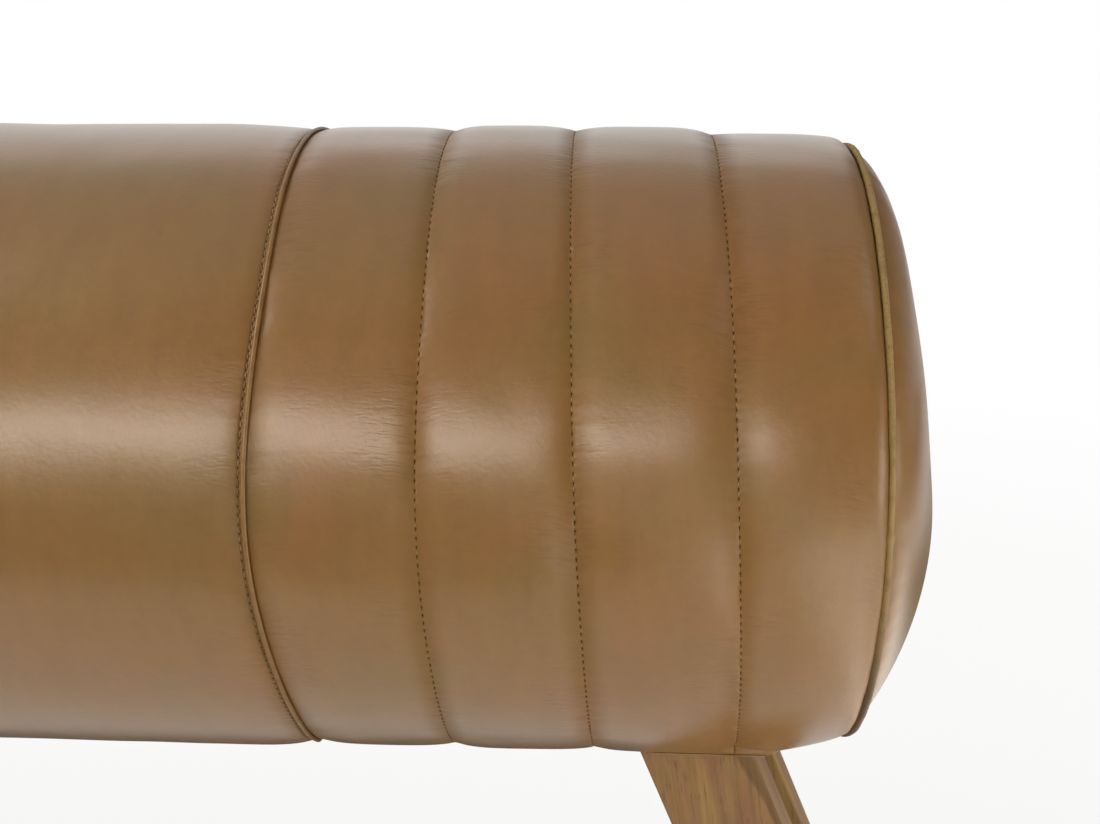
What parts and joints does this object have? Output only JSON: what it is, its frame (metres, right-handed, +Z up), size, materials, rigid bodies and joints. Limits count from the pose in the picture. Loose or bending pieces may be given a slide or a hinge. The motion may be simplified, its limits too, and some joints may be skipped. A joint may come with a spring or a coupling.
{
  "type": "upholstered bench",
  "caption": "Long round leather bench with a plain middle, sewn channels and corded domed ends, on square slanted wooden legs.",
  "frame": {"origin": "on the floor under the middle of the bench, midway between its ends and between its front and rear", "axes": "+X along the bench, +Y from its front to its rear, +Z up"},
  "size_m": [1.0774, 0.3, 0.48],
  "materials": {
    "tan_leather": "satin",
    "leg_wood": "satin",
    "plywood": "matte",
    "pine": "matte",
    "beech": "satin",
    "foam": "matte",
    "wadding": "matte",
    "dust_cloth": "matte",
    "zinc_steel": "satin",
    "brass_insert": "satin",
    "glide_plastic": "matte"
  },
  "bodies": {
    "root": {"base_board": "plywood", "wadding_wrap": "wadding", "foam_wrap": "foam", "leather_centre_panel": "tan_leather", "dust_cover": "dust_cloth", "leg_bolts": "zinc_steel", "leg_bolt_washers": "zinc_steel", "leg_inserts": "brass_insert", "leg_dowels": "beech", "glide_nails": "zinc_steel", "rib_screws": "zinc_steel", "slat_nails": "zinc_steel", "staples": "zinc_steel", "slat_01": "pine", "slat_02": "pine", "slat_03": "pine", "slat_04": "pine", "slat_05": "pine", "slat_06": "pine", "slat_07": "pine", "slat_08": "pine", "slat_09": "pine", "slat_10": "pine", "slat_11": "pine", "rib_1": "plywood", "rib_2": "plywood", "rib_3": "plywood", "end_bulkhead_left": "plywood", "leg_block_left": "beech", "end_foam_left": "foam", "end_cap_left": "tan_leather", "seam_cord_left": "tan_leather", "end_cord_left": "tan_leather", "channel_left_1": "tan_leather", "channel_left_2": "tan_leather", "channel_left_3": "tan_leather", "channel_left_4": "tan_leather", "leg_front_left": "leg_wood", "foot_glide_front_left": "glide_plastic", "leg_rear_left": "leg_wood", "foot_glide_rear_left": "glide_plastic", "end_bulkhead_right": "plywood", "leg_block_right": "beech", "end_foam_right": "foam", "end_cap_right": "tan_leather", "seam_cord_right": "tan_leather", "end_cord_right": "tan_leather", "channel_right_1": "tan_leather", "channel_right_2": "tan_leather", "channel_right_3": "tan_leather", "channel_right_4": "tan_leather", "leg_front_right": "leg_wood", "foot_glide_front_right": "glide_plastic", "leg_rear_right": "leg_wood", "foot_glide_rear_right": "glide_plastic"}
  },
  "joints": []
}
